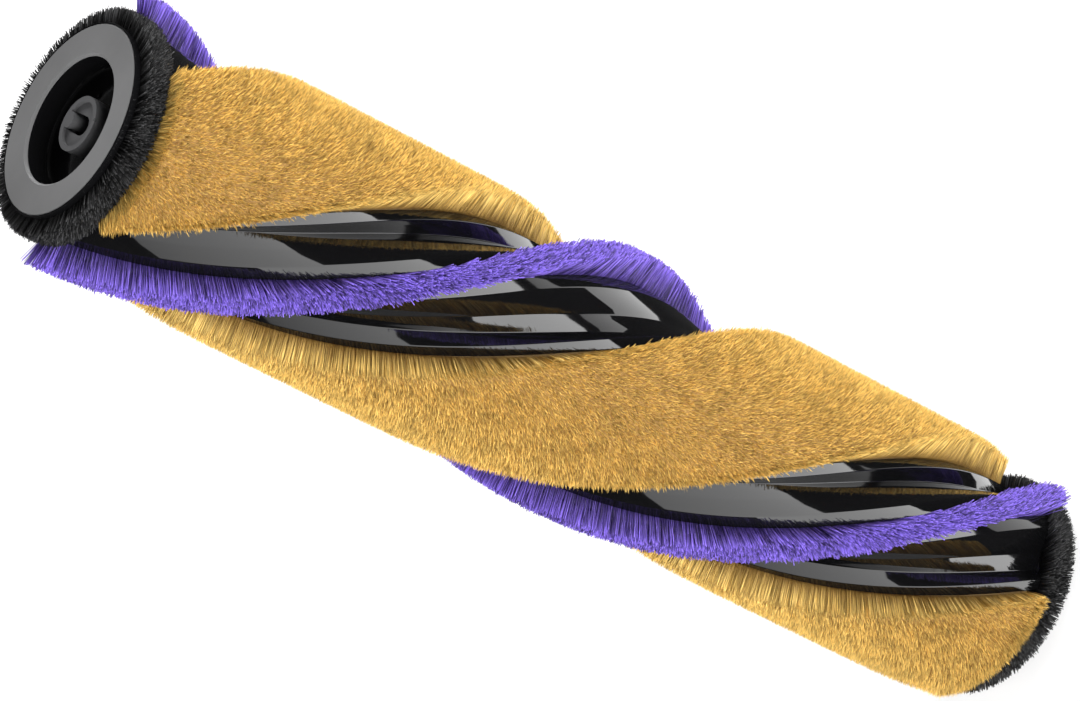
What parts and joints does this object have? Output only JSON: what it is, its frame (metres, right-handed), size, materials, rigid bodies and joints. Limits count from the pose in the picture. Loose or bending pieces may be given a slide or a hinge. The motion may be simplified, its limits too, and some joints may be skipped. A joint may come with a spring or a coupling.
{
  "type": "vacuum roller brush",
  "caption": "Cylindrical roller brush with helical gold pile and purple bristle strips on a fluted black core, a keyed drive socket and a bearing spindle for a vacuum head.",
  "frame": {"origin": "centre of the roller's lowest face, on the idler end, where it stands on a surface", "axes": "+Z along the roller's axis, from the idler end up to the drive end; +X towards the side of the drive socket that lies across from its round key"},
  "size_m": [0.051, 0.051, 0.2255],
  "materials": {
    "core_black": "glossy black moulded plastic",
    "cap_black": "glossy black moulded plastic",
    "ring_grey": "satin mid-grey plastic",
    "hub_grey": "satin mid-grey plastic",
    "gold_pile": "dense soft gold fibre pile",
    "gold_backing": "woven backing",
    "purple_bristle": "stiff purple filaments",
    "purple_carrier": "dark moulded strip",
    "black_bristle": "dense black fibre",
    "channel_steel": "black painted sheet steel",
    "bearing_steel": "ground bearing steel",
    "cage_brass": "pressed brass",
    "spring_steel": "phosphated spring steel",
    "spindle_steel": "turned steel"
  },
  "bodies": {
    "roller": {"core_tube": "core_black", "gold_backing_1": "gold_backing", "gold_backing_2": "gold_backing", "gold_pile_1": "gold_pile", "gold_pile_2": "gold_pile", "purple_carrier_1": "purple_carrier", "purple_carrier_2": "purple_carrier", "purple_bristles_1": "purple_bristle", "purple_bristles_2": "purple_bristle", "drive_end_cap": "cap_black", "drive_face_ring": "ring_grey", "drive_ring_channel": "channel_steel", "drive_bristle_ring": "black_bristle", "drive_hub": "hub_grey", "idler_end_cap": "cap_black", "idler_face_ring": "ring_grey", "idler_ring_channel": "channel_steel", "idler_bristle_ring": "black_bristle", "bearing_outer_ring": "bearing_steel", "bearing_shield_front": "bearing_steel", "bearing_shield_back": "bearing_steel", "bearing_circlip": "spring_steel"},
    "spindle": {"idler_spindle": "spindle_steel", "spindle_clip": "spring_steel", "bearing_inner_ring": "bearing_steel"},
    "ball_set": {"bearing_balls": "bearing_steel", "bearing_cage": "cage_brass"}
  },
  "joints": [
    {"name": "spindle_spin", "type": "hinge", "parent": "roller", "child": "spindle", "pos_m": [0, 0, 0.0093], "axis": [0, 0, 1], "continuous": true},
    {"name": "ball_orbit", "type": "hinge", "parent": "roller", "child": "ball_set", "pos_m": [0, 0, 0.0093], "axis": [0, 0, 1], "continuous": true}
  ],
  "couplings": [
    {"joint": "ball_orbit", "follows": "spindle_spin", "ratio": 0.3696}
  ]
}
